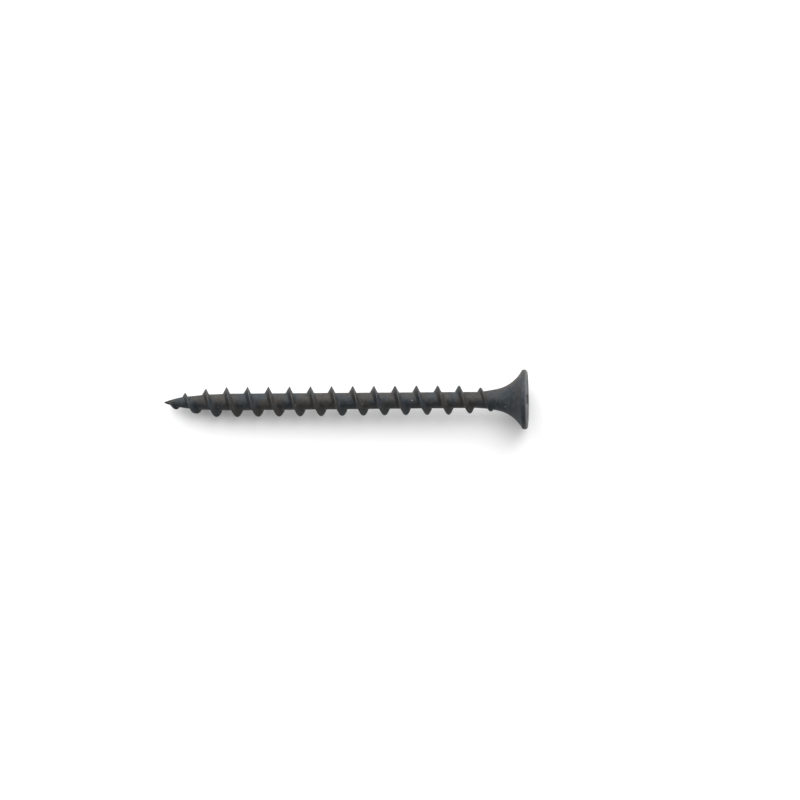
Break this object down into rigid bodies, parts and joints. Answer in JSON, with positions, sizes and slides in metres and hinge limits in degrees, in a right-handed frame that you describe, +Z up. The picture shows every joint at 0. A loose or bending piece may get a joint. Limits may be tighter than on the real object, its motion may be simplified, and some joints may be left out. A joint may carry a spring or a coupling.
{
  "type": "wood screw",
  "caption": "Long slim wood screw with a bugle head, a cross recess, a coarse thread up to the head and a sharp gimlet point.",
  "frame": {"origin": "centre of the head's flat face, on the screw's axis", "axes": "+X along the axis out of the head, towards the driver; +Y and +Z along the two arms of the cross recess; +Z up with the screw on its side"},
  "size_m": [0.05, 0.0082, 0.0082],
  "materials": {
    "head_steel": "matt black phosphate",
    "core_steel": "matt black phosphate",
    "thread_steel": "matt black phosphate, rubbed on the crests"
  },
  "bodies": {
    "root": {"head": "head_steel", "shank": "core_steel", "point": "core_steel", "thread": "thread_steel"}
  },
  "joints": []
}
